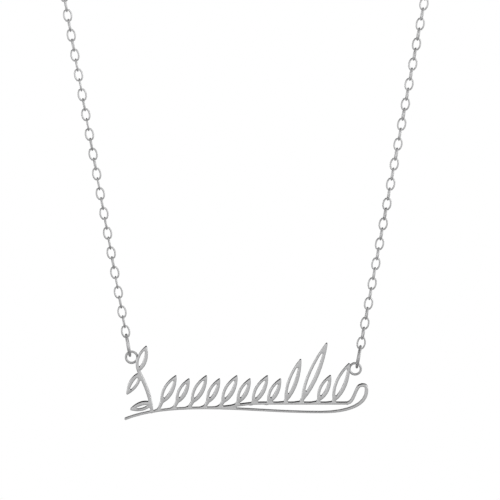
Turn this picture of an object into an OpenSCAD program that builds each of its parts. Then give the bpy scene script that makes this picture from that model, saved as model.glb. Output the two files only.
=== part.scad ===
// Nameplate necklace in silver: an openwork plate hung between two lengths of cable chain.
// The plate carries a spray of open leaves over a curled underline, one ring eye at each end.
// Millimetres. +Z is up and the front of the plate faces -Y. The origin is the middle of the
// clasp, where the necklace hangs on the nape.

/* [Plate] */
// Width of the plate from the tail of its underline to the curl
plate_w = 40; // [38:0.5:44]
// Thickness of the plate
plate_t = 1; // [0.8:0.05:1.2]
// Distance that the middle of the plate hangs to the right of the nape
plate_shift = 0.25; // [-0.5:0.05:0.5]
// Width of a leaf's lighter side
stroke_w = 0.48; // [0.42:0.02:0.6]
// Extra width in the middle of a leaf's heavier side
swell = 0.2; // [0.1:0.02:0.3]
// Width of the vine
vine_w = 0.4; // [0.34:0.02:0.5]
// Width of the underline up to its crest
line_w = 0.33; // [0.3:0.01:0.4]
// Width of the underline where it is lowest and thinnest
thin_w = 0.26; // [0.24:0.01:0.32]
// Width of the curl at the right end of the underline
curl_stroke_w = 0.56; // [0.5:0.02:0.7]
// Width of a leaf's strokes at its point
point_w = 0.34; // [0.3:0.02:0.4]
// Radius in the corners where strokes meet
fillet_r = 0.12; // [0.1:0.01:0.16]
// Radius of the leaves' points
point_r = 0.13; // [0.12:0.01:0.14]

/* [Underline] */
// Drop of the underline's left tail below its crest
tail_drop = 1.8; // [1.4:0.1:2.2]
// Drop of the underline's right half below its crest
right_drop = 0.7; // [0.4:0.02:0.8]
// Height of the curl's top above the crest
curl_h = 4.07; // [3.6:0.1:4.6]
// Height of the vine that carries the right-hand leaves above the crest
vine_h = 0.8; // [0.6:0.05:1]

/* [Leaves] */
// Height of the low leaves' points above the crest
leaf_h = 5.2; // [4.6:0.1:5.6]
// Height of the left end's tall leaf above the crest
tall_h = 10.1; // [9.3:0.1:11]
// Number of low leaves in the row
low_leaves = 8; // [6:1:8]
// Width of a low leaf
leaf_w = 1.9; // [1.8:0.05:2.1]
// Width of the leaves at the left end
tall_w = 1.85; // [1.7:0.05:2]

/* [Ring eyes] */
// Outer diameter of the two ring eyes soldered to the plate
eye_d = 2.2; // [2:0.05:2.5]
// Wire diameter of the ring eyes
eye_wire = 0.38; // [0.34:0.01:0.42]
// Outer diameter of the jump rings
jump_d = 3.9; // [3.4:0.1:4.4]
// Wire diameter of the jump rings
jump_wire = 0.42; // [0.36:0.02:0.46]
// Angle outwards from the top of an eye at which its jump ring hangs
hang_deg = 45; // [10:5:60]

/* [Chain] */
// Spacing of the chain's links, which is rounded to a whole number of them
link_pitch = 1.66; // [1.6:0.01:1.9]
// Outer width of a link
link_w = 1.54; // [1.5:0.01:1.6]
// Wire diameter of a link
link_wire = 0.28; // [0.24:0.01:0.3]
// Play left between linked pieces
play = 0.105; // [0.1:0.005:0.13]

/* [Drape] */
// Height of the straight stretch of chain above the plate's crest
straight_h = 70; // [60:1:80]
// Half of the distance between the chains at the top of the straight stretch
straight_half = 29.8; // [26:0.2:34]
// Rise from the top of the straight stretch to the nape
nape_rise = 46; // [38:1:54]
// Distance from the plate forwards of the nape
neck_depth = 92; // [84:1:100]
// Reach of the curve upwards from the straight stretch
chest_reach = 42; // [36:1:48]
// Reach of the curve sideways from the clasp
nape_reach = 72; // [64:1:80]

/* [Clasp] */
// Outer diameter of the clasp's ring
clasp_d = 5.5; // [5:0.1:6]
// Thickness of the clasp's ring
clasp_wire = 1; // [0.8:0.05:1.1]
// Outer diameter of the eye soldered to the clasp
clasp_eye_d = 2; // [1.8:0.1:2.4]
// Outer diameter of the end ring that the clasp closes on
end_ring_d = 3.2; // [3:0.1:3.6]
// Wire diameter of the end ring and the clasp's eye
end_wire = 0.4; // [0.34:0.02:0.44]

/* [Hidden] */
silver = [0.75, 0.75, 0.76];
left = -1;
right = 1;

// Curves

// A point of the cubic curve with the four control points p, at the share t of its way
function along(p, t) =
    (1 - t)^3 * p[0] + 3 * (1 - t)^2 * t * p[1] + 3 * (1 - t) * t^2 * p[2] + t^3 * p[3];
// The direction of the curve there, one long
function heading(p, t) =
    let (d = (1 - t)^2 * (p[1] - p[0]) + 2 * (1 - t) * t * (p[2] - p[1]) + t^2 * (p[3] - p[2]))
    d / norm(d);
// The direction a quarter turn to the left of a flat direction
function left_of(d) = [-d[1], d[0]];

// The plate is drawn flat: x to the right, y up, zero at the crest of its underline.
// Places along it are shares of its width, counted from its middle.

stroke_steps = 8;
round_fn = 16;
corner_fn = 12;

function place(share, h) = [share * plate_w, h];

// A stroke along a curve, wide w0 at its start and w1 at its end, with round ends. Its middle
// is wider than that by more.
module stroke(p, w0, w1, more = 0) {
    sides = [for (i = [0:stroke_steps]) let (t = i / stroke_steps)
        [along(p, t), left_of(heading(p, t)) * (w0 + (w1 - w0) * t + 4 * more * t * (1 - t)) / 2]];
    polygon(concat([for (s = sides) s[0] + s[1]],
                   [for (i = [stroke_steps:-1:0]) sides[i][0] - sides[i][1]]));
    translate(p[0]) circle(d = w0, $fn = corner_fn);
    translate(p[3]) circle(d = w1, $fn = corner_fn);
}

// The underline runs from its tail up to the crest, down to the low part of the right half and
// round the curl. The vine leaves it at the crest, carries the right-hand leaves and ends in the
// curl too.
tail = place(-0.5, -tail_drop) + [line_w / 2, 0];
crest = place(-0.173, 0);
low = place(0.308, -right_drop);
far_right = place(0.5, 0.7 * curl_h) - [curl_stroke_w / 2, 0];
curl_top = place(0.473, curl_h) - [0, curl_stroke_w / 2];
vine_mid = place(0.06, vine_h);
vine_end = place(0.415, vine_h);

tail_curve = [tail, tail + place(0.08, 0.7 * tail_drop), crest - place(0.143, 0), crest];
right_curve = [crest, crest + place(0.16, 0), low - place(0.18, 0), low];
sweep_curve = [low, low + place(0.115, 0), far_right - [0, 0.55 * curl_h], far_right];
curl_curve = [far_right, far_right + [0, 0.2 * curl_h], curl_top + place(0.018, 0), curl_top];
return_curve = [curl_top, curl_top - place(0.026, 0), vine_end + place(0.03, 0.03 * curl_h), vine_end];
vine_start = [crest, crest + place(0.11, 0), vine_mid - place(0.08, 0), vine_mid];
vine_run = [vine_mid, vine_mid + place(0.1, 0), vine_end - place(0.1, 0), vine_end];

module underline() {
    stroke(tail_curve, line_w, line_w);
    stroke(right_curve, line_w, thin_w);
    stroke(sweep_curve, thin_w, curl_stroke_w);
    stroke(curl_curve, curl_stroke_w, stroke_w);
    stroke(return_curve, stroke_w, stroke_w);
    stroke(vine_start, line_w, vine_w);
    stroke(vine_run, vine_w, vine_w);
}

// One side of a leaf from its foot to its point, bulging by about belly to the left, or to the
// right where belly is below 0
function leaf_side(foot, point, belly) =
    let (run = point - foot, out = left_of(run / norm(run)) * belly)
    [foot, foot + 0.3 * run + 1.45 * out, foot + 0.68 * run + 1.1 * out, point];
function light_side(foot, point, w) = leaf_side(foot, point, (w - stroke_w) / 2);
function heavy_side(foot, point, w) = leaf_side(foot, point, (stroke_w + swell - w) / 2);

// An open leaf from its foot to its point, w wide, with its heavier side on the right
module leaf(foot, point, w) {
    stroke(light_side(foot, point, w), stroke_w, point_w);
    stroke(heavy_side(foot, point, w), stroke_w, point_w, swell);
}

// The stem that the stalks leave: the underline up to its crest, then the vine
stem = [for (c = [tail_curve, vine_start, vine_run], i = [0:stroke_steps - 1])
    along(c, i / stroke_steps)];
function on_stem(share) = [share * plate_w, lookup(share * plate_w, stem)];

// A stalk that bends up out of the stem and carries a leaf
module leaf_on_stalk(start, foot, point, w) {
    run = (point - foot) / norm(point - foot);
    bend = 0.5 * norm(foot - start);
    stroke([start, start + bend * [1, 0.25], foot - run * bend, foot], 0.9 * line_w,
           stroke_w + swell / 2);
    leaf(foot, point, w);
}

// The row of low leaves, in shares of the plate's width: the places of its first and last stalks
// and how far right of its stalk each leaf has its foot and its point. Then the height of the
// foot as a share of leaf_h, and the size of every second leaf, which is a little smaller.
start_share = -0.38;
end_share = 0.058;
foot_share = 0.034;
point_share = 0.09;
foot_h_share = 0.2;
small_share = 0.9;

// The leaves to the right of the row: places of the stalk, the foot and the point, heights of
// the foot and the point as shares of leaf_h, and width as a share of leaf_w
right_leaves = [
    [0.125, 0.163, 0.222, 0.25, 1.52, 0.95],
    [0.190, 0.230, 0.329, 0.27, 2.04, 1.00],
    [0.262, 0.298, 0.344, 0.27, 1.01, 0.95],
    [0.325, 0.360, 0.421, 0.25, 1.39, 1.10]
];
last = right_leaves[3];
last_foot = place(last[1], last[3] * leaf_h);
last_point = place(last[2], last[4] * leaf_h);

// The left end: a tall leaf on a leaning stalk, with one leaf hanging beside it and one lying
// over the tail
stalk_foot = on_stem(-0.388);
fork = place(-0.443, 0.62 * tall_h);
tall_point = place(-0.411, tall_h);
knee = place(-0.438, 0.56 * tall_h);
hanging_point = place(-0.488, 0.24 * tall_h);
hip = place(-0.391, 0.073 * tall_h);
lying_point = place(-0.472, -0.02 * tall_h);

module spray() {
    for (i = [0:low_leaves - 1]) {
        at = start_share + (end_share - start_share) * i / (low_leaves - 1);
        size = i % 2 == 0 ? 1 : small_share;
        leaf_on_stalk(on_stem(at), place(at + foot_share, foot_h_share * leaf_h),
                      place(at + point_share * size, leaf_h * size), leaf_w * size);
    }
    for (r = right_leaves)
        leaf_on_stalk(on_stem(r[0]), place(r[1], r[3] * leaf_h), place(r[2], r[4] * leaf_h),
                      r[5] * leaf_w);
    leaf(fork, tall_point, tall_w);
    leaf(knee, hanging_point, 0.9 * tall_w);
    leaf(hip, lying_point, 0.85 * tall_w);
    stroke([stalk_foot, stalk_foot + place(-0.004, 0.25 * tall_h),
            fork + place(0.03, -0.25 * tall_h), fork], stroke_w, stroke_w, swell / 2);
}

// The ring eyes lie against the outer sides of the tall leaf and of the last leaf, soldered in
eye_reach = (eye_d - eye_wire) / 2 + stroke_w / 4;
left_side = light_side(fork, tall_point, tall_w);
right_side = heavy_side(last_foot, last_point, last[5] * leaf_w);
left_share = 0.435;
right_share = 0.9;
eye_left = along(left_side, left_share) + left_of(heading(left_side, left_share)) * eye_reach;
eye_right = along(right_side, right_share) - left_of(heading(right_side, right_share)) * eye_reach;

// A round ring of wire about the z axis
module ring(d, wire) {
    rotate_extrude($fn = 48) translate([(d - wire) / 2, 0]) circle(d = wire, $fn = round_fn);
}

crest_z = -nape_rise - straight_h;
function on_plate(p) = [plate_shift + p[0], -neck_depth, crest_z + p[1]];

module nameplate() {
    color(silver) {
        translate(on_plate([0, 0]))
            rotate([90, 0, 0])
                linear_extrude(plate_t, center = true)
                    offset(r = -fillet_r, $fn = corner_fn)
                        offset(delta = fillet_r) {
                            underline();
                            offset(r = point_r, $fn = corner_fn)
                                offset(r = -point_r, $fn = corner_fn)
                                    spray();
                        }
        for (eye = [eye_left, eye_right])
            translate(on_plate(eye)) rotate([90, 0, 0]) ring(eye_d, eye_wire);
    }
}

// Each jump ring goes through its eye at the eye's outer side. From there the chain pulls it
// straight up and outwards, to the top of the straight stretch.
hook_reach = (eye_d - jump_wire) / 2 - eye_wire - play;
function eye_of(side) = on_plate(side == left ? eye_left : eye_right);
function hook_of(side) = eye_of(side) + hook_reach * [side * sin(hang_deg), 0, cos(hang_deg)];
function top_of(side) = [side * straight_half, -neck_depth, -nape_rise];
function pull(side) = let (d = top_of(side) - hook_of(side)) d / norm(d);

// Distances up that line: from the ring's wire in the eye to its middle and to its far wire
ring_far = jump_d - jump_wire;
ring_up = ring_far / 2;

// The jump ring is seen edge-on from the front
module jump_ring(side) {
    up = pull(side);
    color(silver)
        translate(hook_of(side) + up * ring_up)
            rotate([0, 90 + asin(up[0]), 0])
                ring(jump_d, jump_wire);
}

// The clasp's ring stands upright behind the nape, with its eye lying flat on the left of it.
// The end ring lies flat through it on the right.
eye_bite = 0.3;
clasp_eye_x = clasp_d / 2 - eye_bite + (clasp_eye_d - end_wire) / 2;
end_ring_x = clasp_d / 2 - clasp_wire - play - end_wire + end_ring_d / 2;
hold_x = [clasp_eye_x + clasp_eye_d / 2, end_ring_x + end_ring_d / 2];

module clasp() {
    color(silver) {
        rotate([90, 0, 0]) ring(clasp_d, clasp_wire);
        translate([-clasp_eye_x, 0, 0]) ring(clasp_eye_d, end_wire);
    }
}

module end_ring() {
    color(silver) translate([end_ring_x, 0, 0]) ring(end_ring_d, end_wire);
}

// A chain runs from its first link, by the jump ring, straight up to the top of the straight
// stretch and then round the neck to its last link, by the clasp. Its links stand at equal
// steps, an odd number of them, so that the first and the last both lie flat.
drape_steps = 150;
half_link = (link_pitch + play) / 2;

function first_link(side) = hook_of(side) + pull(side) * (ring_far - jump_wire / 2 - play + half_link);
function last_link(side) =
    [side * (hold_x[side == left ? 0 : 1] - end_wire - play + half_link), 0, 0];
function drape(side) =
    let (curve = [top_of(side), top_of(side) + pull(side) * chest_reach,
                  last_link(side) + [side * nape_reach, 0, 0], last_link(side)])
    concat([first_link(side)], [for (i = [0:drape_steps]) along(curve, i / drape_steps)]);
// Lengths from the start of a line to each of its points
function lengths(line) =
    let (last_one = len(line) - 1)
    [for (i = 0, s = 0; i <= last_one; i = i + 1, s = s + norm(line[min(i, last_one)] - line[i - 1])) s];
function links_of(length) = 2 * round(length / link_pitch / 2) + 1;

drapes = [drape(left), drape(right)];
reach = [for (d = drapes) lengths(d)];
full = [for (r = reach) r[len(r) - 1]];
count = [for (l = full) links_of(l)];
step = [full[0] / (count[0] - 1), full[1] / (count[1] - 1)];
// The straight part of a link's sides, up to the next hundredth of a millimetre, leaves linked
// pieces their play
link_straight = ceil(100 * (max(step) + play + 2 * link_wire - link_w)) / 100;

// One link: long along z, flat in the plane of x and z
half_turn = 180;

module link() {
    for (end = [0, half_turn])
        rotate([0, end, 0])
            translate([0, 0, link_straight / 2])
                rotate([90, 0, 0])
                    rotate_extrude(angle = half_turn, $fn = 2 * round_fn)
                        translate([(link_w - link_wire) / 2, 0]) circle(d = link_wire, $fn = round_fn);
    for (side = [left, right])
        translate([side * (link_w - link_wire) / 2, 0, 0])
            cylinder(d = link_wire, h = link_straight, center = true, $fn = round_fn);
}

// Puts a link at p, long along the direction d and facing along f
module placed(p, d, f) {
    w = cross(f, d);
    multmatrix([for (k = [0:2]) [w[k], f[k], d[k], p[k]]]) children();
}

// Every second link is turned a quarter, and those between face outwards from the neck
module chain(side) {
    i = side == left ? 0 : 1;
    table = [for (k = [0:2]) [for (j = [0:len(drapes[i]) - 1]) [reach[i][j], drapes[i][j][k]]]];
    function at(s) = [for (k = [0:2]) lookup(s, table[k])];
    color(silver)
        for (n = [0:count[i] - 1]) {
            s = n * step[i];
            run = at(s + 0.5) - at(s - 0.5);
            d = run / norm(run);
            out = side * cross(d, [0, 0, 1]);
            face = out / norm(out);
            placed(at(s), d, n % 2 == 0 ? face : cross(d, face)) link();
        }
}

nameplate();
jump_ring(left);  // jump_ring_left
jump_ring(right);  // jump_ring_right
chain(left);  // chain_left
chain(right);  // chain_right
clasp();
end_ring();
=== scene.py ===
# %% [markdown]
# # A nameplate necklace in silver
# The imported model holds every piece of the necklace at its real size: an openwork plate sawn
# from sheet, two jump rings, two lengths of cable chain, and the clasp with its end ring at the
# nape. This lesson makes each of them again as a jeweller would hand it over, with broken edges
# on the plate and wire drawn round, and gives them the finishes of worn silver. Places and sizes
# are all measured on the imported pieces, so nothing has to be fitted afterwards.

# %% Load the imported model
import math
import random

import bpy
import numpy as np
from mathutils import Matrix, Vector


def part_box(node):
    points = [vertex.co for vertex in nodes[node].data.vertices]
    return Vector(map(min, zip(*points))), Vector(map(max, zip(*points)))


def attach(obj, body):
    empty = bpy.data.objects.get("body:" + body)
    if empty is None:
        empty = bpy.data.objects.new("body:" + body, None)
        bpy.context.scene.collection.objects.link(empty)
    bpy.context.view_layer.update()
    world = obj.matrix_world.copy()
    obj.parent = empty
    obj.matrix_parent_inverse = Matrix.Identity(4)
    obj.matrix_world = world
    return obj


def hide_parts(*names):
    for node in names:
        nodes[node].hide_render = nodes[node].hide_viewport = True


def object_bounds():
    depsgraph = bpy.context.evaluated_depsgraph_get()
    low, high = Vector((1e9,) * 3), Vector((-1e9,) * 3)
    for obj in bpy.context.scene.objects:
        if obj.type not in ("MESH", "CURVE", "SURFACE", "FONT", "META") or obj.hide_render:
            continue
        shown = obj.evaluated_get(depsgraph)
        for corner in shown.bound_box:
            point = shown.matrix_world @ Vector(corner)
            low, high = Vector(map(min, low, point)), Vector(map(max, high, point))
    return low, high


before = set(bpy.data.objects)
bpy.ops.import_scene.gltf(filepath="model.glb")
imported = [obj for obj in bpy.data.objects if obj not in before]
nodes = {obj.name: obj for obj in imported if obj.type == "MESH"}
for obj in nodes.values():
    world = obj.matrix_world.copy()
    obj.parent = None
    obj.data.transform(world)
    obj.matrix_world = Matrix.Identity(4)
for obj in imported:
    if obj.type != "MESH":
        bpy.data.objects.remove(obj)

MM = 0.001
scene = bpy.context.scene
cad_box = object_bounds()
print("CAD box in mm:", [[round(v / MM, 2) for v in corner] for corner in cad_box])

# %% [markdown]
# ## The camera
# The photograph looks straight at the front of the plate. Dark lines run along the tops of its
# strokes and along the bottoms of its openings: those are the walls of the sheet that face up,
# so the camera stood a little above the plate. A long lens keeps the two chains as straight as
# they are in the picture. The frame is worked out from the width of the plate in the picture.

# %% Camera
PHOTO_PX = 500
PLATE_LEFT_PX = 124.1
PLATE_RIGHT_PX = 368.5
PLATE_BOTTOM_PX = 420.2
CAMERA_DISTANCE = 1.2
CAMERA_HEIGHT_DEG = 8.0
NEAREST_SEEN = 0.01

plate_low, plate_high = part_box("nameplate")
pixel = (plate_high.x - plate_low.x) / (PLATE_RIGHT_PX - PLATE_LEFT_PX)
tilt = math.radians(CAMERA_HEIGHT_DEG)
aim = Vector((
    plate_low.x + (PHOTO_PX / 2 - PLATE_LEFT_PX) * pixel,
    (plate_low.y + plate_high.y) / 2,
    plate_low.z + (PLATE_BOTTOM_PX - PHOTO_PX / 2) * pixel / math.cos(tilt),
))
back = Vector((0, -math.cos(tilt), math.sin(tilt)))
bpy.ops.object.camera_add(
    location=aim + back * CAMERA_DISTANCE, rotation=(math.radians(90) - tilt, 0, 0)
)
camera = bpy.context.object
camera.data.lens = camera.data.sensor_width * CAMERA_DISTANCE / (PHOTO_PX * pixel)
camera.data.clip_start = NEAREST_SEEN
scene.camera = camera
print(f"one pixel is {pixel / MM:.4f} mm, lens {camera.data.lens:.0f} mm")

# %% [markdown]
# ## The studio
# Silver has hardly a colour of its own: it shows what stands round it. The photograph's plate is
# a flat mid grey with nearly black lines on top, and its wires have darker outlines. So the room
# is pale in front of the necklace, where the flat front looks, and dark behind it, where walls
# that face up look. Where the camera looks straight at the room or the table they are plain
# white, as in the picture, and the Standard view keeps that white as it is. Three small helpers
# come first, because the table and the room both need them: one empties a node tree, one fades a
# value smoothly over a span, and one does a step of arithmetic.

# %% Helpers for shaders
def shader_nodes(owner):
    """Empties the node tree of a material or a world and returns its nodes and links."""
    owner.use_nodes = True
    owner.node_tree.nodes.clear()
    return owner.node_tree.nodes, owner.node_tree.links


def faded(made, wires, value, over, between):
    """A value that goes smoothly from one number to another while the input runs over a span."""
    fade = made.new("ShaderNodeMapRange")
    fade.interpolation_type = "SMOOTHSTEP"
    fade.inputs["From Min"].default_value, fade.inputs["From Max"].default_value = over
    fade.inputs["To Min"].default_value, fade.inputs["To Max"].default_value = between
    wires.new(value, fade.inputs["Value"])
    return fade.outputs["Result"]


def arithmetic(made, wires, operation, *values):
    """One step of arithmetic on sockets or numbers."""
    step = made.new("ShaderNodeMath")
    step.operation = operation
    for place, value in enumerate(values):
        if isinstance(value, float):
            step.inputs[place].default_value = value
        else:
            wires.new(value, step.inputs[place])
    return step.outputs[0]


scene.view_settings.view_transform = "Standard"
print("the view shows colours by:", scene.view_settings.view_transform)

# %% [markdown]
# ## The table
# The necklace hangs a little clear of a wide pale table. What the table shows to the silver is
# not the white that it shows to the camera: it glows dark in a band under the plate, which the
# lower edges of the plate show, and pale further out, which the front shows. The band is a fade
# over the distance from the plate, and the Light Path node tells the camera's view apart.

# %% Table
TABLE_DROP = 0.03
TABLE_SIZE = 60.0
TABLE_CORNERS = 64
TABLE_WHITE = (0.9, 0.9, 0.9, 1)
TABLE_ROUGHNESS = 0.9
TABLE_GLOW_SHARE = 0.9
TABLE_UNDER, TABLE_AROUND = 0.2, 0.67
TABLE_MIDDLE = 0.09
TABLE_FADE = (0.0, 0.22)

bpy.ops.mesh.primitive_circle_add(
    vertices=TABLE_CORNERS, radius=TABLE_SIZE / 2, fill_type="NGON",
    location=(0, 0, cad_box[0].z - TABLE_DROP),
)
table = bpy.context.object
table.name = "table"
bpy.ops.object.transform_apply(location=True, rotation=False, scale=False)

pale = bpy.data.materials.new("pale_table")
made, wires = shader_nodes(pale)
out = made.new("ShaderNodeOutputMaterial")
surface = made.new("ShaderNodeBsdfPrincipled")
surface.inputs["Base Color"].default_value = TABLE_WHITE
surface.inputs["Roughness"].default_value = TABLE_ROUGHNESS
glow = made.new("ShaderNodeEmission")
where = made.new("ShaderNodeTexCoord")
parts = made.new("ShaderNodeSeparateXYZ")
seen = made.new("ShaderNodeLightPath")
strength = made.new("ShaderNodeMapRange")
share = made.new("ShaderNodeMapRange")
share.inputs["To Min"].default_value = TABLE_GLOW_SHARE
mixed = made.new("ShaderNodeMixShader")
wires.new(where.outputs["Object"], parts.inputs[0])
aside = arithmetic(made, wires, "ABSOLUTE", arithmetic(
    made, wires, "ADD", parts.outputs["Y"], TABLE_MIDDLE
))
wires.new(
    faded(made, wires, aside, TABLE_FADE, (TABLE_UNDER, TABLE_AROUND)),
    strength.inputs["To Min"],
)
wires.new(seen.outputs["Is Camera Ray"], strength.inputs["Value"])
wires.new(seen.outputs["Is Camera Ray"], share.inputs["Value"])
wires.new(strength.outputs["Result"], glow.inputs["Strength"])
wires.new(share.outputs["Result"], mixed.inputs["Fac"])
wires.new(surface.outputs[0], mixed.inputs[1])
wires.new(glow.outputs[0], mixed.inputs[2])
wires.new(mixed.outputs[0], out.inputs["Surface"])
table.data.materials.append(pale)
print("table at", round(cad_box[0].z - TABLE_DROP, 4), "m")

# %% [markdown]
# ## The room
# The room is the world's background, read by direction. It fades from pale in front to nearly
# black behind. A dark strip runs overhead, a little to the left: the broken upper edges of the
# strokes show it as the thin dark lines of the picture.

# %% Room
ROOM_FRONT, ROOM_BACK = 0.66, 0.03
ROOM_FADE = (-0.2, 1.0)
STRIP_LEAN = 0.35
STRIP_SIDES = (0.3, 0.7)
STRIP_START = (0.1, 0.45)
STRIP_DARK = 0.9
WHITE = (1, 1, 1, 1)

room = bpy.data.worlds.new("room")
scene.world = room
made, wires = shader_nodes(room)
out = made.new("ShaderNodeOutputWorld")
way = made.new("ShaderNodeTexCoord")
parts = made.new("ShaderNodeSeparateXYZ")
walls = made.new("ShaderNodeBackground")
white = made.new("ShaderNodeBackground")
white.inputs["Color"].default_value = WHITE
seen = made.new("ShaderNodeLightPath")
mixed = made.new("ShaderNodeMixShader")
wires.new(way.outputs["Generated"], parts.inputs[0])
aside = arithmetic(made, wires, "ABSOLUTE", arithmetic(
    made, wires, "ADD", parts.outputs["X"], STRIP_LEAN
))
strip = arithmetic(
    made, wires, "MULTIPLY",
    faded(made, wires, aside, STRIP_SIDES, (STRIP_DARK, 0)),
    faded(made, wires, parts.outputs["Z"], STRIP_START, (0, 1)),
)
pale_part = arithmetic(made, wires, "SUBTRACT", 1.0, strip)
by_depth = faded(made, wires, parts.outputs["Y"], ROOM_FADE, (ROOM_FRONT, ROOM_BACK))
wires.new(arithmetic(made, wires, "MULTIPLY", by_depth, pale_part), walls.inputs["Color"])
wires.new(seen.outputs["Is Camera Ray"], mixed.inputs["Fac"])
wires.new(walls.outputs[0], mixed.inputs[1])
wires.new(white.outputs[0], mixed.inputs[2])
wires.new(mixed.outputs[0], out.inputs["Surface"])
print("room from", ROOM_FRONT, "in front to", ROOM_BACK, "behind")

# %% [markdown]
# ## The soft boxes
# Two upright soft boxes stand far out at the sides. They lighten the sides of the wires and
# hardly touch the flat front. The right box is the stronger: with equal ones both chains came
# out a little darker than in the picture.

# %% Soft boxes
BOX_DISTANCE = 0.9
BOX_SIZE = (0.4, 0.8)
BOX_HEIGHT_DEG = 12
SOFT_BOXES = (("left_box", -70, 1.3), ("right_box", 70, 1.8))

for name, turn_deg, watts in SOFT_BOXES:
    turn, height = math.radians(turn_deg), math.radians(BOX_HEIGHT_DEG)
    way_to = Vector((
        math.sin(turn) * math.cos(height), -math.cos(turn) * math.cos(height), math.sin(height)
    ))
    bpy.ops.object.light_add(type="AREA", location=aim + way_to * BOX_DISTANCE)
    box = bpy.context.object
    box.name = name
    box.rotation_euler = way_to.to_track_quat("Z", "Y").to_euler()
    box.data.shape = "RECTANGLE"
    box.data.size, box.data.size_y = BOX_SIZE
    box.data.energy = watts
    print(name, "of", watts, "W at", [round(v, 2) for v in box.location], "m")

# %% [markdown]
# ## Effects that several finishes share
# Every piece is the same silver, but no two are finished alike. Three small effects are built
# once, as node groups, and each finish sets its own numbers on them. *Tone* lets the metal dull
# by a shade in slow patches, as silver does when it is worn. *Haze* moves the roughness between
# a clean and a handled value. *Relief* lays in fine tool marks, and each finish says how long
# they are along the piece.

# %% Helpers for node groups
def new_group(name, inputs, output, kind):
    """A shader node group with a Vector and these numbers or colours in, and one value out."""
    tree = bpy.data.node_groups.new(name, "ShaderNodeTree")
    tree.interface.new_socket("Vector", in_out="INPUT", socket_type="NodeSocketVector")
    for title, start in inputs.items():
        colour = isinstance(start, tuple)
        socket = tree.interface.new_socket(
            title, in_out="INPUT",
            socket_type="NodeSocketColor" if colour else "NodeSocketFloat",
        )
        socket.default_value = start
    tree.interface.new_socket(output, in_out="OUTPUT", socket_type=kind)
    print("group", name, "with inputs", list(inputs))
    return tree, tree.nodes.new("NodeGroupInput"), tree.nodes.new("NodeGroupOutput")


def patches(tree, entry, detail):
    """Noise over the group's Vector at its Scale, from 0 to 1."""
    noise = tree.nodes.new("ShaderNodeTexNoise")
    noise.inputs["Detail"].default_value = detail
    tree.links.new(entry.outputs["Vector"], noise.inputs["Vector"])
    tree.links.new(entry.outputs["Scale"], noise.inputs["Scale"])
    return noise.outputs["Fac"]


def spread_out(tree, value, span):
    """A node that spreads the part of a value between two numbers over its whole output."""
    spread = tree.nodes.new("ShaderNodeMapRange")
    spread.inputs["From Min"].default_value, spread.inputs["From Max"].default_value = span
    tree.links.new(value, spread.inputs["Value"])
    return spread


# %% Tone, haze and relief
PALE_GREY = (0.9, 0.9, 0.9, 1)
TONE_DETAIL, HAZE_DETAIL, RELIEF_DETAIL = 3.0, 4.0, 2.0
TONE_SPAN, HAZE_SPAN = (0.35, 0.7), (0.3, 0.7)

tone, entry, leave = new_group(
    "silver_tone", {"Scale": 1.0, "Clean": PALE_GREY, "Dull": PALE_GREY},
    "Color", "NodeSocketColor",
)
spread = spread_out(tone, patches(tone, entry, TONE_DETAIL), TONE_SPAN)
blend = tone.nodes.new("ShaderNodeMix")
blend.data_type = "RGBA"
tone.links.new(spread.outputs["Result"], blend.inputs["Factor"])
tone.links.new(entry.outputs["Clean"], blend.inputs["A"])
tone.links.new(entry.outputs["Dull"], blend.inputs["B"])
tone.links.new(blend.outputs["Result"], leave.inputs["Color"])

haze, entry, leave = new_group(
    "handling_haze", {"Scale": 1.0, "Least": 0.0, "Most": 1.0}, "Roughness", "NodeSocketFloat"
)
spread = spread_out(haze, patches(haze, entry, HAZE_DETAIL), HAZE_SPAN)
haze.links.new(entry.outputs["Least"], spread.inputs["To Min"])
haze.links.new(entry.outputs["Most"], spread.inputs["To Max"])
haze.links.new(spread.outputs["Result"], leave.inputs["Roughness"])

relief, entry, leave = new_group(
    "tool_marks", {"Scale": 1.0, "Depth": 0.0}, "Normal", "NodeSocketVector"
)
bump = relief.nodes.new("ShaderNodeBump")
relief.links.new(patches(relief, entry, RELIEF_DETAIL), bump.inputs["Height"])
relief.links.new(entry.outputs["Depth"], bump.inputs["Distance"])
relief.links.new(bump.outputs["Normal"], leave.inputs["Normal"])

# %% [markdown]
# ## The finishes
# One function builds a finish from the three effects. The marks have a length in each direction
# of the piece: the satin of the front is brushed from side to side, the walls of the sheet keep
# the saw's fine lines, which run through its thickness, and the wire has only the small even
# marks of polishing and wear. The brush also reaches the edges of the underline, up to where it
# turns over at the right. Elsewhere the broken edges are polished. The other walls keep the saw's
# lines, and their colour is halved: painted shade, which makes them dark between the leaves. The
# eyes and the jump rings get a colour a little darker than clean silver, and more roughness.

# %% Silver finishes
CLEAN_SILVER = (0.9, 0.9, 0.905, 1)
DULL_SILVER = (0.8, 0.8, 0.8, 1)
PATCH_MM, HAZE_MM = 6.0, 1.2
BRUSHED_MM, SAWN_MM = (0.5, 0.5, 0.06), (0.05, 2.0, 0.05)
WIRE_MM, LINK_MM = (0.15, 0.15, 0.15), (0.1, 0.1, 0.1)


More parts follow.
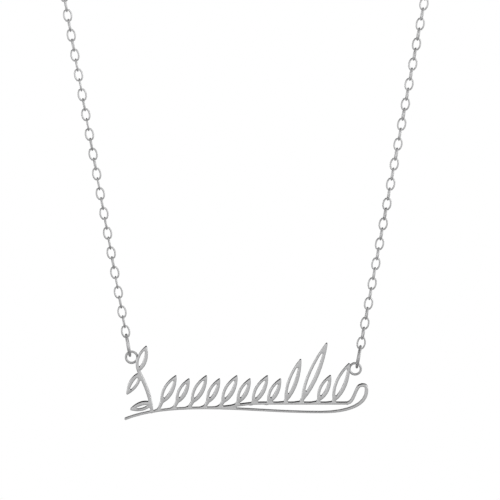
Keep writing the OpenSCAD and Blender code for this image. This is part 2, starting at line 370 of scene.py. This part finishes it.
def silver(name, roughness, mark_mm, depth_mm, shade=1.0):
    """A silver finish: least and most roughness, the tool marks' length along x, y and z and
    their depth, and how bright the metal is beside clean silver."""
    finish = bpy.data.materials.new(name)
    made, wires = shader_nodes(finish)
    out = made.new("ShaderNodeOutputMaterial")
    metal = made.new("ShaderNodeBsdfPrincipled")
    metal.inputs["Metallic"].default_value = 1.0
    where = made.new("ShaderNodeTexCoord")
    colour, rough, marks = (made.new("ShaderNodeGroup") for _ in range(3))
    colour.node_tree, rough.node_tree, marks.node_tree = tone, haze, relief
    colour.inputs["Scale"].default_value = 1 / (PATCH_MM * MM)
    for title, shown in (("Clean", CLEAN_SILVER), ("Dull", DULL_SILVER)):
        colour.inputs[title].default_value = [part * shade for part in shown[:3]] + [1]
    rough.inputs["Scale"].default_value = 1 / (HAZE_MM * MM)
    rough.inputs["Least"].default_value, rough.inputs["Most"].default_value = roughness
    stretch = made.new("ShaderNodeMapping")
    stretch.inputs["Scale"].default_value = [1 / (length * MM) for length in mark_mm]
    marks.inputs["Depth"].default_value = depth_mm * MM
    for effect in (colour, rough, stretch):
        wires.new(where.outputs["Object"], effect.inputs["Vector"])
    wires.new(stretch.outputs["Vector"], marks.inputs["Vector"])
    wires.new(colour.outputs["Color"], metal.inputs["Base Color"])
    wires.new(rough.outputs["Roughness"], metal.inputs["Roughness"])
    wires.new(marks.outputs["Normal"], metal.inputs["Normal"])
    wires.new(metal.outputs[0], out.inputs["Surface"])
    print(f"finish {name}: roughness {roughness[0]} to {roughness[1]}, shade {shade}")
    return finish


satin_front = silver("satin_front", (0.3, 0.38), BRUSHED_MM, 0.002)
satin_edge = silver("satin_edge", (0.6, 0.7), SAWN_MM, 0.001)
polished_edge = silver("polished_edge", (0.08, 0.16), SAWN_MM, 0.001)
# The walls' colour is halved: painted shade that darkens them between the leaves.
sawn_wall_painted_shade = silver("sawn_wall_painted_shade", (0.1, 0.2), SAWN_MM, 0.001, shade=0.5)
polished_wire = silver("polished_wire", (0.3, 0.4), WIRE_MM, 0.0006)
# These rings get 0.92 of the clean colour, and more roughness than the other wire.
soldered_wire = silver("soldered_wire", (0.5, 0.6), WIRE_MM, 0.0006, shade=0.92)
handled_chain = silver("handled_chain", (0.45, 0.55), LINK_MM, 0.0006)

# %% [markdown]
# ## Copies that can be measured
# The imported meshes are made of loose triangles. A copy has its points merged first, and then the
# places of round pieces can be read from them. A copy that is only measured is thrown away again.

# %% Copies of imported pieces
SAME_POINT = 0.0005 * MM


def only(*pieces):
    """Selects these objects and nothing else. The last one is active."""
    bpy.ops.object.select_all(action="DESELECT")
    for piece in pieces:
        piece.select_set(True)
    bpy.context.view_layer.objects.active = pieces[-1]


def copy_of(node, name):
    """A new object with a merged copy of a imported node's mesh."""
    piece = bpy.data.objects.new(name, nodes[node].data.copy())
    piece.data.name = name
    piece.data.materials.clear()
    scene.collection.objects.link(piece)
    only(piece)
    bpy.ops.mesh.customdata_custom_splitnormals_clear()
    bpy.ops.object.mode_set(mode="EDIT")
    bpy.ops.mesh.select_all(action="SELECT")
    bpy.ops.mesh.remove_doubles(threshold=SAME_POINT)
    bpy.ops.object.mode_set(mode="OBJECT")
    return piece


def drop(piece):
    """Removes an object and its mesh."""
    mesh = piece.data
    bpy.data.objects.remove(piece)
    bpy.data.meshes.remove(mesh)


def points_of(mesh):
    """A mesh's points as rows of numbers."""
    flat = np.zeros(len(mesh.vertices) * 3)
    mesh.vertices.foreach_get("co", flat)
    return flat.reshape(-1, 3)


def merged_points(node):
    """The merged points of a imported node, as rows of numbers."""
    source = copy_of(node, "measured_copy")
    points = points_of(source.data)
    drop(source)
    return points


plate_mesh = points_of(nodes["nameplate"].data)
print("plate in mm:", np.round(np.ptp(plate_mesh, axis=0) / MM, 2))

# %% [markdown]
# ## Where a ring or a link lies
# A ring or a link has a middle, a direction that it faces and a direction that it is long in. The
# spread of its points gives the directions: it is widest along the piece and least across its
# wire.

# %% Measure a flat piece of wire
def measured(points):
    """The place of a flat piece of wire, as a matrix with x across, y along and upwards, and z
    facing, and its three sizes in that order."""
    middle = points.mean(0)
    _, directions = np.linalg.eigh(np.cov((points - middle).T))
    facing, across, along = directions[:, 0], directions[:, 1], directions[:, 2]
    if along[2] < 0:
        along = -along
    if np.dot(np.cross(across, along), facing) < 0:
        facing = -facing
    axes = np.column_stack([across, along, facing])
    spread = (points - middle) @ axes
    middle = middle + axes @ (spread.max(0) + spread.min(0)) / 2
    place = Matrix.Identity(4)
    for column, direction in enumerate((across, along, facing, middle)):
        for row in range(3):
            place[row][column] = float(direction[row])
    return place, [float(v) for v in spread.max(0) - spread.min(0)]


_, end_ring_sizes = measured(merged_points("end_ring"))
print("end ring in mm:", [round(v / MM, 2) for v in end_ring_sizes])

# %% [markdown]
# ## Rings of wire
# A jump ring is a length of wire bent round a rod and soldered where its ends meet. A circle
# curve with a thickness would give the same wire, but a torus is a mesh at once, so that its
# joint can be made in edit mode. The joint is a shallow groove across the wire: one loop of edges
# is bevelled into two, and the loop left between them is drawn in. The plate's eyes and the clasp
# are rings as well.

# %% One ring of wire
RING_STEPS, RING_SIDES = 56, 14
GROOVE_WIDTH = 0.05 * MM
GROOVE_SHARE = 0.93
OFF_JOINT_SHARE = 0.01


def ring_of_wire(name, place, ring_d, wire_d, joint_deg, finish):
    """A soldered ring of round wire at a place, with its joint at an angle round it."""
    bpy.ops.object.select_all(action="DESELECT")
    bpy.ops.mesh.primitive_torus_add(
        major_radius=(ring_d - wire_d) / 2, minor_radius=wire_d / 2,
        major_segments=RING_STEPS, minor_segments=RING_SIDES,
    )
    ring = bpy.context.object
    ring.name = ring.data.name = name
    bpy.ops.object.mode_set(mode="EDIT")
    bpy.ops.mesh.select_all(action="DESELECT")
    bpy.ops.object.mode_set(mode="OBJECT")
    joint = round(joint_deg / 360 * RING_STEPS) % RING_STEPS
    angle = 2 * math.pi * joint / RING_STEPS
    out_dir = Vector((math.cos(angle), math.sin(angle), 0))
    round_dir = Vector((-out_dir.y, out_dir.x, 0))

    def select_joint():
        """Selects the loop of edges that lies in the plane of the joint."""
        points = ring.data.vertices
        on_joint = [
            abs(p.co.dot(round_dir)) < wire_d * OFF_JOINT_SHARE and p.co.dot(out_dir) > 0
            for p in points
        ]
        for edge in ring.data.edges:
            edge.select = all(on_joint[v] for v in edge.vertices)

    select_joint()
    bpy.ops.object.mode_set(mode="EDIT")
    bpy.ops.mesh.select_mode(type="EDGE")
    bpy.ops.mesh.bevel(offset=GROOVE_WIDTH / 2, segments=2, affect="EDGES")
    bpy.ops.mesh.select_all(action="DESELECT")
    bpy.ops.object.mode_set(mode="OBJECT")
    select_joint()
    bpy.ops.object.mode_set(mode="EDIT")
    bpy.ops.transform.resize(
        value=(GROOVE_SHARE,) * 3, center_override=out_dir * (ring_d - wire_d) / 2
    )
    bpy.ops.object.mode_set(mode="OBJECT")
    bpy.ops.object.shade_smooth()
    ring.data.transform(place)
    ring.data.materials.append(finish)
    print(f"{name}: {ring_d / MM:.2f} mm across, wire {wire_d / MM:.2f} mm")
    return ring


# %% Jump rings
JUMP_JOINT_DEG = 140

for side in ("left", "right"):
    node = f"jump_ring_{side}"
    place, (across, along, wire) = measured(merged_points(node))
    ring = ring_of_wire(
        node + "_wire", place, (across + along) / 2, wire, JUMP_JOINT_DEG, soldered_wire
    )
    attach(ring, "root")
    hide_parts(node)

# %% [markdown]
# ## The outline of the plate
# A plate like this is sawn or cut from flat sheet and then tumbled, which leaves the front flat
# and breaks its edges round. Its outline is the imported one: of a copy of that mesh only the edges
# round the flat front are kept.

# %% Outline of a flat piece
FLAT = 0.99


def outline_of(node, name):
    """The closed edge loops round the front of a flat piece, as an object."""
    piece = copy_of(node, name)
    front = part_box(node)[0].y
    bpy.ops.object.mode_set(mode="EDIT")
    bpy.ops.mesh.select_mode(type="FACE")
    bpy.ops.mesh.select_all(action="DESELECT")
    bpy.ops.object.mode_set(mode="OBJECT")
    for face in piece.data.polygons:
        face.select = face.normal.y > -FLAT or face.center.y > front + SAME_POINT
    bpy.ops.object.mode_set(mode="EDIT")
    bpy.ops.mesh.delete(type="FACE")
    bpy.ops.mesh.select_mode(type="EDGE")
    bpy.ops.mesh.select_non_manifold(
        use_wire=False, use_boundary=True, use_multi_face=False,
        use_non_contiguous=False, use_verts=False,
    )
    bpy.ops.mesh.select_all(action="INVERT")
    bpy.ops.mesh.delete(type="EDGE")
    bpy.ops.object.mode_set(mode="OBJECT")
    return piece


outline = outline_of("nameplate", "openwork_plate")
print("outline of", len(outline.data.edges), "edges")

# %% [markdown]
# ## The sheet
# The loops become a flat curve, with smooth handles in place of the short straight steps, and
# the curve is given the sheet's thickness and a small round bevel. A curve does this better than
# a bevel on the mesh, because it rounds sharp tips and narrow corners without a fault.

# %% Sheet from the outline
BROKEN_EDGE = 0.1 * MM
CURVE_STEPS = 2
EDGE_STEPS = 2


def sheet_from(outline, thickness, edge, lay_flat):
    """Solid sheet inside the loops of an outline, with its rims rounded by a small bevel."""
    only(outline)
    outline.data.transform(lay_flat)
    bpy.ops.object.convert(target="CURVE")
    sheet = bpy.context.object
    bpy.ops.object.mode_set(mode="EDIT")
    bpy.ops.curve.select_all(action="SELECT")
    bpy.ops.curve.spline_type_set(type="BEZIER")
    bpy.ops.curve.handle_type_set(type="AUTOMATIC")
    bpy.ops.object.mode_set(mode="OBJECT")
    sheet.data.dimensions = "2D"
    sheet.data.fill_mode = "BOTH"
    sheet.data.resolution_u = CURVE_STEPS
    sheet.data.extrude = thickness / 2 - edge
    sheet.data.bevel_depth = edge
    sheet.data.bevel_resolution = EDGE_STEPS
    sheet.data.offset = -edge
    bpy.ops.object.convert(target="MESH")
    sheet = bpy.context.object
    sheet.data.transform(lay_flat.inverted())
    bpy.ops.object.mode_set(mode="EDIT")
    bpy.ops.mesh.select_all(action="SELECT")
    bpy.ops.mesh.remove_doubles(threshold=SAME_POINT / 10)
    bpy.ops.mesh.normals_make_consistent(inside=False)
    bpy.ops.object.mode_set(mode="OBJECT")
    return sheet


middle_y = (plate_low.y + plate_high.y) / 2
lay_flat = Matrix.Rotation(math.radians(-90), 4, "X") @ Matrix.Translation((0, -middle_y, 0))
plate = sheet_from(outline, plate_high.y - plate_low.y, BROKEN_EDGE, lay_flat)
plate.name = plate.data.name = "openwork_plate"
for finish in (satin_front, satin_edge, polished_edge, sawn_wall_painted_shade):
    plate.data.materials.append(finish)
print("sheet of", len(plate.data.polygons), "faces")

# %% [markdown]
# ## The eyes of the plate
# The two eyes are rings of wire that are soldered on, so they are joined to the sheet as one
# body. Each lies in the middle of the sheet's thickness, partly hidden in it. A circle fitted to
# the points that do show gives its middle and its size.

# %% Eyes
EYE_POINTS = 0.3 * MM
EYE_JOINT_DEG = 0


def eye_ring(points):
    """The middle, the outer diameter and the wire of an upright ring, also where a part of it
    is hidden in the sheet: the circle that fits its points best."""
    x, z = points[:, 0], points[:, 2]
    rows = np.column_stack([2 * x, 2 * z, np.ones(len(x))])
    fitted = np.linalg.lstsq(rows, x**2 + z**2, rcond=None)[0]
    reach = np.hypot(x - fitted[0], z - fitted[1]).max()
    middle = Vector((fitted[0], (points[:, 1].max() + points[:, 1].min()) / 2, fitted[1]))
    return middle, 2 * float(reach), float(np.ptp(points[:, 1]))


def solder(body, part):
    """Joins a part to a body as one closed mesh, with its own finish, and removes the part."""
    join = body.modifiers.new("solder", "BOOLEAN")
    join.operation = "UNION"
    join.solver = "EXACT"
    join.material_mode = "TRANSFER"
    join.object = part
    only(body)
    bpy.ops.object.modifier_apply(modifier=join.name)
    drop(part)


in_sheet = plate_mesh[np.abs(plate_mesh[:, 1] - middle_y) < EYE_POINTS]
upright = Matrix.Rotation(math.radians(90), 4, "X")
for name, mine in (("left_eye", in_sheet[:, 0] < 0), ("right_eye", in_sheet[:, 0] > 0)):
    middle, eye_d, eye_wire = eye_ring(in_sheet[mine])
    place = Matrix.Translation(middle) @ upright
    solder(plate, ring_of_wire(name, place, eye_d, eye_wire, EYE_JOINT_DEG, soldered_wire))
    print(name, "at", [round(v / MM, 2) for v in middle])

# %% [markdown]
# ## Where each finish lies on the plate
# A finish follows the tool that reaches the face. The front and the back are brushed flat. The
# brush also runs over the edges of the low underline, and higher where it turns over at the
# right. Of all other faces the broken edges, which lean to the front or the back, are polished,
# and the walls are as sawn, with their colour darkened as painted shade. Weighted normals keep the
# flat faces flat beside their round edges.

# %% Finishes over the plate
STEEP = 0.3
BRUSH_REACH, BRUSH_REACH_AT_CURL = 2.2 * MM, 4.8 * MM
CURL_WIDTH = 3.4 * MM
SMOOTH_UNDER_DEG = 40

# Walls that are neither brushed nor polished get the sawn finish, with its painted shade.
slots = {finish.name: number for number, finish in enumerate(plate.data.materials)}
for face in plate.data.polygons:
    if face.material_index == slots[soldered_wire.name]:
        continue
    at_curl = face.center.x > plate_high.x - CURL_WIDTH
    brushed = BRUSH_REACH_AT_CURL if at_curl else BRUSH_REACH
    if abs(face.normal.y) > FLAT:
        finish = satin_front
    elif face.center.z < plate_low.z + brushed:
        finish = satin_edge
    elif abs(face.normal.y) > STEEP:
        finish = polished_edge
    else:
        finish = sawn_wall_painted_shade
    face.material_index = slots[finish.name]
bpy.ops.object.shade_smooth_by_angle(angle=math.radians(SMOOTH_UNDER_DEG))
even = plate.modifiers.new("even_normals", "WEIGHTED_NORMAL")
even.keep_sharp = True
bpy.ops.object.modifier_apply(modifier=even.name)
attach(plate, "root")
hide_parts("nameplate")
print("plate:", len(plate.data.polygons), "faces in", list(slots))

# %% [markdown]
# ## The link of the chain
# A cable chain is one link, made over and over. The photograph's links are ovals of round wire,
# each turned a quarter against the next. The link is drawn once, as a circle stretched in edit
# mode to an oval, given the wire's thickness and made a mesh.

# %% One oval link
LINK_STEPS = 3
LINK_ROUNDNESS = 1


def oval_link(length, width, wire):
    """One link of round wire, flat in x and y and long in y."""
    bpy.ops.object.select_all(action="DESELECT")
    bpy.ops.curve.primitive_bezier_circle_add(radius=1)
    link = bpy.context.object
    bpy.ops.object.mode_set(mode="EDIT")
    bpy.ops.curve.select_all(action="SELECT")
    bpy.ops.transform.resize(value=((width - wire) / 2, (length - wire) / 2, 1))
    bpy.ops.object.mode_set(mode="OBJECT")
    link.data.resolution_u = LINK_STEPS
    link.data.fill_mode = "FULL"
    link.data.bevel_depth = wire / 2
    link.data.bevel_resolution = LINK_ROUNDNESS
    bpy.ops.object.convert(target="MESH")
    link = bpy.context.object
    bpy.ops.object.mode_set(mode="EDIT")
    bpy.ops.mesh.select_all(action="SELECT")
    bpy.ops.mesh.remove_doubles(threshold=SAME_POINT)
    bpy.ops.mesh.normals_make_consistent(inside=False)
    bpy.ops.object.mode_set(mode="OBJECT")
    bpy.ops.object.shade_smooth()
    link.data.materials.append(handled_chain)
    print(f"link of {length / MM:.2f} by {width / MM:.2f} mm, wire {wire / MM:.2f} mm,",
          len(link.data.polygons), "faces")
    return link


# %% [markdown]
# ## The chains
# An array along a curve could lay out a chain, but its links would not stand where the packed
# ones do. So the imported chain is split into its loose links, each is measured, and a copy of the
# new link goes to each place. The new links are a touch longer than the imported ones, so that
# they rest on each other. A hanging chain is never quite even, so each link is also twisted by a
# few degrees within its play.

# %% Places of the links
def places_of_links(node):
    """The place and the sizes of every loose link of a packed chain, from the plate upwards."""
    chain = copy_of(node, "measured_chain")
    bpy.ops.object.mode_set(mode="EDIT")
    bpy.ops.mesh.separate(type="LOOSE")
    bpy.ops.object.mode_set(mode="OBJECT")
    loose = list(bpy.context.selected_objects)
    found = [measured(points_of(link.data)) for link in loose]
    for link in loose:
        drop(link)
    rest = sorted(found, key=lambda link: (link[0].translation - plate_low).length)
    ordered = [rest.pop(0)]
    while rest:
        here = ordered[-1][0].translation
        nearest = min(rest, key=lambda link: (link[0].translation - here).length)
        rest.remove(nearest)
        ordered.append(nearest)
    print(node, "has", len(ordered), "links")
    return ordered


# %% Hang the chains
CHAIN_TURN_DEG = 9.0
LINK_TWIST_DEG = 3.0
LINK_CONTACT = 0.02 * MM
CHAIN_SEEDS = {"chain_left": 3, "chain_right": 8}


def hang_chain(node, name, seed):
    """A chain of oval links at the places of a packed chain's links."""
    chance = random.Random(seed)
    places = places_of_links(node)
    steps = [(b[0].translation - a[0].translation).length for a, b in zip(places, places[1:])]
    width, wire = (sum(sizes[i] for _, sizes in places) / len(places) for i in (0, 2))
    link = oval_link(max(steps) + 2 * wire + LINK_CONTACT, width, wire)
    copies = []
    for place, _ in places:
        turn_deg = CHAIN_TURN_DEG + chance.uniform(-1, 1) * LINK_TWIST_DEG
        twist = Matrix.Rotation(math.radians(turn_deg), 4, "Y")
        copy = bpy.data.objects.new(name, link.data.copy())
        scene.collection.objects.link(copy)
        copy.data.transform(place @ twist)
        copies.append(copy)
    drop(link)
    only(*copies)
    bpy.ops.object.join()
    chain = bpy.context.object
    chain.name = chain.data.name = name
    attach(chain, "root")
    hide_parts(node)
    print(f"{name}: {sum(steps) / MM:.0f} mm long, {len(chain.data.polygons)} faces")


for node, seed in CHAIN_SEEDS.items():
    hang_chain(node, f"cable_{node}", seed)

# %% [markdown]
# ## The clasp
# Hair and neck would hide the clasp, and the photograph doesn't show it. It is built plainly: a
# ring of stout wire with a small eye soldered to it. The sizes of both are read from the packed
# clasp: the ring's from its top and bottom, and the eye's from the part that stands out beside
# the ring.

# %% Clasp
BESIDE_CLASP = 0.1 * MM
CLASP_JOINT_DEG, CLASP_EYE_JOINT_DEG = 35, 180

clasp_points = merged_points("clasp")
clasp_d = float(np.ptp(clasp_points[:, 2]))
away_from_eye = np.abs(clasp_points[:, 2]) > clasp_d / 4
clasp_wire = float(np.ptp(clasp_points[away_from_eye][:, 1]))
eye_left = float(clasp_points[:, 0].min())
eye_points = clasp_points[clasp_points[:, 0] < -clasp_d / 2 - BESIDE_CLASP]
eye_wire = float(np.ptp(eye_points[:, 2]))
eye_d = 2 * float(np.abs(eye_points[:, 1]).max())

clasp = ring_of_wire(
    "clasp_ring", upright, clasp_d, clasp_wire, CLASP_JOINT_DEG, polished_wire
)
eye_place = Matrix.Translation((eye_left + eye_d / 2, 0, 0))
clasp_eye = ring_of_wire(
    "clasp_eye", eye_place, eye_d, eye_wire, CLASP_EYE_JOINT_DEG, polished_wire
)
solder(clasp, clasp_eye)
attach(clasp, "root")
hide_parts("clasp")
print("clasp of", len(clasp.data.polygons), "faces")

# %% [markdown]
# ## The end ring
# The other chain ends in a plain jump ring, caught in the clasp. It is polished as the clasp is.

# %% End ring
END_JOINT_DEG = 60

place, (across, along, wire) = measured(merged_points("end_ring"))
end = ring_of_wire(
    "end_ring_wire", place, (across + along) / 2, wire, END_JOINT_DEG, polished_wire
)
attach(end, "root")
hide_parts("end_ring")
